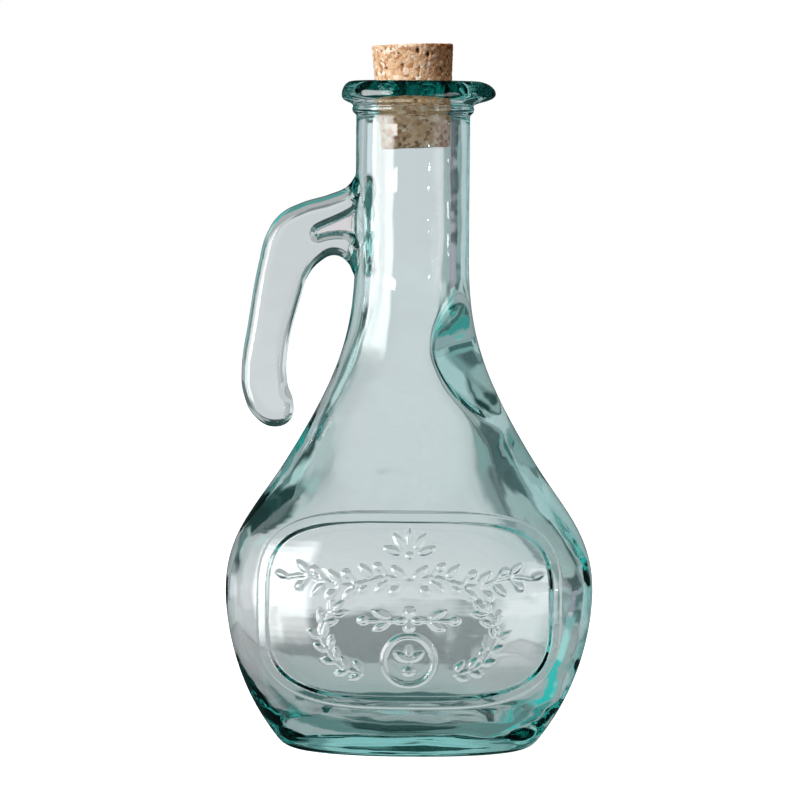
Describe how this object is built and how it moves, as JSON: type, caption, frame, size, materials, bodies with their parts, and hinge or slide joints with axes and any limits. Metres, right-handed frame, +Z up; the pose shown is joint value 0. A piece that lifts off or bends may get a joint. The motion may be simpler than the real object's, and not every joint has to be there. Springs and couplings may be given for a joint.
{
  "type": "glass oil bottle with cork",
  "caption": "Clear aqua glass oil bottle with a hooked side handle, a pouring lip, a raised oval-cornered panel on its front and a tapered cork pushed into its neck.",
  "frame": {"origin": "middle of the bottle's base, on the surface it stands on", "axes": "+Z up along the neck; the front with the embossed panel faces -Y; the handle is at -X and the pouring lip at +X"},
  "size_m": [0.1168, 0.0776, 0.2236],
  "materials": {
    "glass": "clear recycled glass with a green-blue tint",
    "cork": "raw pressed cork granules"
  },
  "bodies": {
    "root": {"bottle": "glass", "cork": "cork"}
  },
  "joints": []
}
